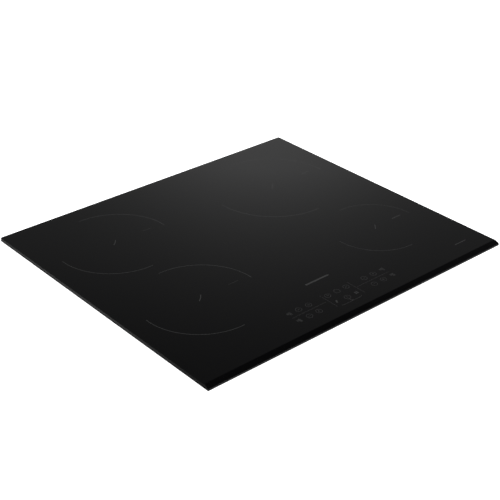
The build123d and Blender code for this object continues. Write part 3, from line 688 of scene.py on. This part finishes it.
def arcBand(bm, centre, radius, width, fromAngle, toAngle, steps):
    centre = Vector((*centre, 0)) / 1000
    ray = Vector((cos(radians(fromAngle)), sin(radians(fromAngle)), 0)) / 1000
    inner = bm.verts.new(centre + ray * (radius - width / 2))
    outer = bm.verts.new(centre + ray * (radius + width / 2))
    edge = bm.edges.new((inner, outer))
    bmesh.ops.spin(
        bm, geom=[inner, outer, edge], cent=centre, axis=(0, 0, 1), dvec=(0, 0, 0),
        angle=radians(toAngle - fromAngle), steps=steps, use_merge=toAngle - fromAngle >= 360,
    )


def plate(bm, centre, width, depth):
    place = Matrix.Translation(Vector((*centre, 0)) / 1000)
    size = Matrix.Diagonal((width / 1000, depth / 1000, 1, 1))
    bmesh.ops.create_grid(bm, x_segments=1, y_segments=1, size=0.5, matrix=place @ size)


def printPiece(name, bm):
    raised = bmesh.ops.extrude_face_region(bm, geom=bm.faces[:])
    bmesh.ops.translate(bm, verts=vertsOf(raised), vec=(0, 0, inkHeight))
    bmesh.ops.translate(bm, verts=bm.verts[:], vec=(0, 0, glassTop))
    bmesh.ops.recalc_face_normals(bm, faces=bm.faces[:])
    piece = newPiece(name, bm, made["printedInk"])
    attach(piece, "hob")


# four zones: two quarter arcs and a centre stroke each
zones = {
    "quarters": ((-2.5, 92.5), (177.5, 272.5)),  # degrees
    "strokeWidth": 1.15,
    "bent": ((-6.8, -5.9), (0.8, 0.1), (6.4, 7.3)),
    "short": ((-4.7, -5.0), (4.8, 5.6)),
    "places": (  # centre, radius, width of the arcs, centre stroke and how long it is drawn
        ((-164.3, 126.9), 92.5, 0.9, "bent", 0.82),
        ((-164.2, -82.7), 92.7, 0.9, "bent", 0.92),
        ((178.0, -97.1), 75.6, 0.7, "short", 0.92),
        ((148.1, 112.7), 107.0, 0.92, "short", 1.45),
    ),
}


def zonePrint(look):
    bm = bmesh.new()
    for centre, radius, width, stroke, length in look["places"]:
        for fromAngle, toAngle in look["quarters"]:
            arcBand(bm, centre, radius, width, fromAngle, toAngle, arcSteps)
        points = [(centre[0] + length * x, centre[1] + length * y) for x, y in look[stroke]]
        for start, end in zip(points, points[1:]):
            lineBand(bm, start, end, look["strokeWidth"])
    printPiece("zonePrint", bm)


zonePrint(zones)

# touch panel: keys in two rows, a framed middle group and two dividers
panel = {
    "stroke": 0.55,
    "rule": 0.45,
    "stemWide": 0.9,
    "keyRadius": 4.7,
    "signs": {  # width and lines of each, round its key's centre
        "plain": (0.55, ()),
        "minus": (0.55, (((-1.9, 0.0), (1.9, 0.0)),)),
        "plus": (0.55, (
            ((-1.9, 0.0), (1.9, 0.0)), ((0.0, 0.275), (0.0, 1.9)), ((0.0, -1.9), (0.0, -0.275)),
        )),
        "clock": (0.55, (((0.0, 0.0), (0.0, 2.6)), ((0.275, 0.0), (2.2, 0.0)))),
        "slash": (0.55, (((-2.2, -1.8), (2.2, 1.8)),)),
        "power": (0.55, (((0.0, -1.4), (0.0, 2.4)),)),
        "zone": (0.6, (
            ((0.6, -3.9), (0.6, 3.9)), ((1.85, -3.9), (1.85, 3.9)), ((3.1, -3.9), (3.1, 3.9)),
            ((-3.1, -1.2), (-3.1, 3.0)), ((-1.9, -1.2), (-1.9, 3.0)), ((-0.7, -1.2), (-0.7, 3.0)),
        )),
        "lock": (2.3, (((-1.6, -2.6), (1.6, 2.8)),)),
        "pause": (1.7, (((-1.6, -3.0), (-1.6, 3.0)), ((1.6, -3.0), (1.6, 3.0)))),
    },
    "ringless": ("zone", "lock", "pause"),
    "keys": (
        ("zone", (-96.2, -195.8)),
        ("minus", (-78.4, -195.6)),
        ("plus", (-59.3, -195.6)),
        ("zone", (-96.8, -217.0)),
        ("minus", (-77.9, -217.4)),
        ("plus", (-59.1, -216.9)),
        ("clock", (-21.8, -195.6)),
        ("plain", (-3.1, -195.3)),
        ("slash", (15.4, -195.3)),
        ("lock", (-22.6, -215.0)),
        ("power", (-2.9, -216.6)),
        ("pause", (15.5, -216.2)),
        ("minus", (52.5, -195.2)),
        ("plus", (71.5, -195.2)),
        ("zone", (90.4, -194.8)),
        ("minus", (52.5, -216.1)),
        ("plus", (71.8, -216.0)),
        ("zone", (91.0, -215.6)),
    ),
    "dividers": (((-100.6, -206.3), (-35.8, -206.3)), ((28.0, -205.8), (93.7, -205.8))),
    "arms": (((-30.9, -188.5), (-30.9, -225.0)), ((25.4, -187.0), (25.4, -224.0))),
    "front": ((-23.6, -226.0), (-20.5, -228.0), (12.6, -228.0), (15.8, -226.2)),
    "foot": ((-2.4, -226.6), (3.6, 1.0)),
    "stem": ((-3.6, -221.6), (-3.6, -225.7)),
}


def keySign(bm, kind, centre, look):
    if kind not in look["ringless"]:
        arcBand(bm, centre, look["keyRadius"], look["stroke"], 0, 360, ringSteps)
    width, lines = look["signs"][kind]
    for ends in lines:
        start, end = [(centre[0] + x, centre[1] + y) for x, y in ends]
        lineBand(bm, start, end, width)


def panelPrint(look):
    bm = bmesh.new()
    for kind, centre in look["keys"]:
        keySign(bm, kind, centre, look)
    for start, end in (*look["dividers"], *look["arms"]):
        lineBand(bm, start, end, look["rule"])
    lineBand(bm, *look["stem"], look["stemWide"])
    for start, end in zip(look["front"], look["front"][1:]):
        lineBand(bm, start, end, look["stroke"])
    foot, size = look["foot"]
    plate(bm, foot, *size)
    printPiece("panelPrint", bm)


panelPrint(panel)

# plain bars where a hob carries its words
bars = {
    "places": (  # centre and size of each
        ((-3.4, -154.2), (45.0, 3.2)),
        ((-101.2, 129.0), (17.0, 0.5)),
        ((-101.2, -80.6), (18.0, 0.5)),
        ((226.5, 116.0), (15.5, 1.6)),
        ((227.9, -95.4), (19.5, 1.5)),
        ((242.1, -216.8), (25.0, 1.4)),
    ),
}


def barPrint(look):
    bm = bmesh.new()
    for centre, size in look["places"]:
        plate(bm, centre, *size)
    printPiece("barPrint", bm)


barPrint(bars)
print("prints laid")


# stage: white floor under the tray, and a thin white worktop with the cut-out
stage = {
    "floorReach": 6.0,
    "floorDrop": 0.0003,
    "cutOut": (0.56, 0.49),
    "margins": {"left": 0.17, "right": 0.07, "front": 0.07, "rear": 0.17},  # beyond the cut-out
    "sheetTop": 0.0479,
    "sheetThick": 0.0003,
    "white": (0.82, 0.82, 0.82),
    "lift": 0.97,  # glow that brings the white up to the background's
}


def seenPlainly(tree):  # by the camera, or through glass
    path = tree.nodes.new("ShaderNodeLightPath")
    return addMath(tree, "MAXIMUM", path.outputs["Is Camera Ray"], path.outputs["Is Transmission Ray"])


def whiteFinish(look):
    material = bpy.data.materials.new("stageWhite")
    material.use_nodes = True
    tree = material.node_tree
    tree.nodes.clear()
    paint = tree.nodes.new("ShaderNodeBsdfDiffuse")
    paint.inputs["Color"].default_value = (*look["white"], 1.0)
    glow = tree.nodes.new("ShaderNodeEmission")
    tree.links.new(addMath(tree, "MULTIPLY", seenPlainly(tree), look["lift"]), glow.inputs["Strength"])
    both = tree.nodes.new("ShaderNodeAddShader")
    tree.links.new(paint.outputs[0], both.inputs[0])
    tree.links.new(glow.outputs[0], both.inputs[1])
    output = tree.nodes.new("ShaderNodeOutputMaterial")
    tree.links.new(both.outputs[0], output.inputs["Surface"])
    return material


def layFloor(look, material):
    bm = bmesh.new()
    place = Matrix.Translation((0, 0, -look["floorDrop"]))
    bmesh.ops.create_grid(bm, x_segments=1, y_segments=1, size=look["floorReach"], matrix=place)
    newPiece("floor", bm, material)


def laySheet(look, material):
    halfX, halfY = [side / 2 for side in look["cutOut"]]
    beyond = look["margins"]
    left, right = -halfX - beyond["left"], halfX + beyond["right"]
    front, rear = -halfY - beyond["front"], halfY + beyond["rear"]
    place = Matrix.Translation(((left + right) / 2, (front + rear) / 2, look["sheetTop"]))
    size = Matrix.Diagonal((right - left, rear - front, 1, 1))
    bm = bmesh.new()
    bmesh.ops.create_grid(bm, x_segments=1, y_segments=1, size=0.5, matrix=place @ size)
    for side in (-1, 1):
        for point, across in (((side * halfX, 0, 0), (1, 0, 0)), ((0, side * halfY, 0), (0, 1, 0))):
            bmesh.ops.bisect_plane(bm, geom=everything(bm), plane_co=point, plane_no=across)
    middles = [(face, face.calc_center_median()) for face in bm.faces]
    hole = [face for face, at in middles if abs(at.x) < halfX and abs(at.y) < halfY]
    bmesh.ops.delete(bm, geom=hole, context="FACES")
    lowered = bmesh.ops.extrude_face_region(bm, geom=bm.faces[:])
    bmesh.ops.translate(bm, verts=vertsOf(lowered), vec=(0, 0, -look["sheetThick"]))
    bmesh.ops.recalc_face_normals(bm, faces=bm.faces[:])
    sheet = newPiece("worktopSheet", bm, material)
    sheet.visible_shadow = False


stageWhite = whiteFinish(stage)
layFloor(stage, stageWhite)
laySheet(stage, stageWhite)
print("stage set")


# studio light: a soft dome, bright at the horizon and dim overhead, one soft panel low at the
# rear right that the glass mirrors, and a disk lamp above; rises and fades in degrees
dome = {
    "base": 0.056,  # even part, up to highFade
    "high": 0.016,  # even part, above it
    "highFade": (39.0, 52.0),
    "lowBand": 0.068,
    "lowFade": (25.8, 36.8),
    "horizon": 0.55,
    "horizonFade": (1.0, 17.0),
    "panelTurn": 41.6,  # from +Y towards +X
    "panelWide": 7.7,
    "panelRise": 25.0,  # where it would have its peak
    "panelPeak": 0.412,
    "panelFall": 3.1,  # rise over which it falls to a third
    "panelFloor": 26.0,  # below this rise it stays even
}
lamp = {"size": 1.2, "height": 1.7, "power": 26.0}


def makeDome(look):
    world = bpy.data.worlds.new("studio")
    bpy.context.scene.world = world
    world.use_nodes = True
    tree = world.node_tree
    tree.nodes.clear()
    x, y, z = splitXYZ(tree, tree.nodes.new("ShaderNodeTexCoord").outputs["Generated"])
    toDegrees = 180 / pi
    rise = addMath(tree, "MULTIPLY", addMath(tree, "ARCSINE", z), toDegrees)
    turn = addMath(tree, "MULTIPLY", addMath(tree, "ARCTAN2", x, y), toDegrees)

    low = addRange(tree, rise, *look["lowFade"], look["lowBand"], 0.0, smooth=True)
    horizon = addRange(tree, rise, *look["horizonFade"], look["horizon"], 0.0, smooth=True)
    even = addRange(tree, rise, *look["highFade"], look["base"], look["high"], smooth=True)

    offset = addMath(tree, "SUBTRACT", turn, look["panelTurn"])
    aside = addMath(tree, "DIVIDE", offset, look["panelWide"])
    falling = addMath(tree, "MULTIPLY", addMath(tree, "MULTIPLY", aside, aside), -1.0)
    sideways = addMath(tree, "EXPONENT", falling)
    level = addMath(tree, "MAXIMUM", rise, look["panelFloor"])
    above = addMath(tree, "SUBTRACT", level, look["panelRise"])
    upward = addMath(tree, "EXPONENT", addMath(tree, "DIVIDE", above, -look["panelFall"]))
    shape = addMath(tree, "MULTIPLY", sideways, upward)
    softPanel = addMath(tree, "MULTIPLY", shape, look["panelPeak"])

    bands = addMath(tree, "ADD", low, horizon)
    total = addMath(tree, "ADD", bands, addMath(tree, "ADD", softPanel, even))
    strength = addMath(tree, "MAXIMUM", total, seenPlainly(tree))  # white where it is the background
    sky = tree.nodes.new("ShaderNodeBackground")
    sky.inputs["Color"].default_value = (1, 1, 1, 1)
    tree.links.new(strength, sky.inputs["Strength"])
    output = tree.nodes.new("ShaderNodeOutputWorld")
    tree.links.new(sky.outputs[0], output.inputs["Surface"])


def hangLamp(look):
    data = bpy.data.lights.new("overhead", "AREA")
    data.shape = "DISK"
    data.size = look["size"]
    data.energy = look["power"]
    lampObject = bpy.data.objects.new("overhead", data)
    lampObject.location = (0, 0, look["height"])
    bpy.context.scene.collection.objects.link(lampObject)


makeDome(dome)
hangLamp(lamp)
bpy.context.scene.view_settings.view_transform = "Standard"
print("lights on")
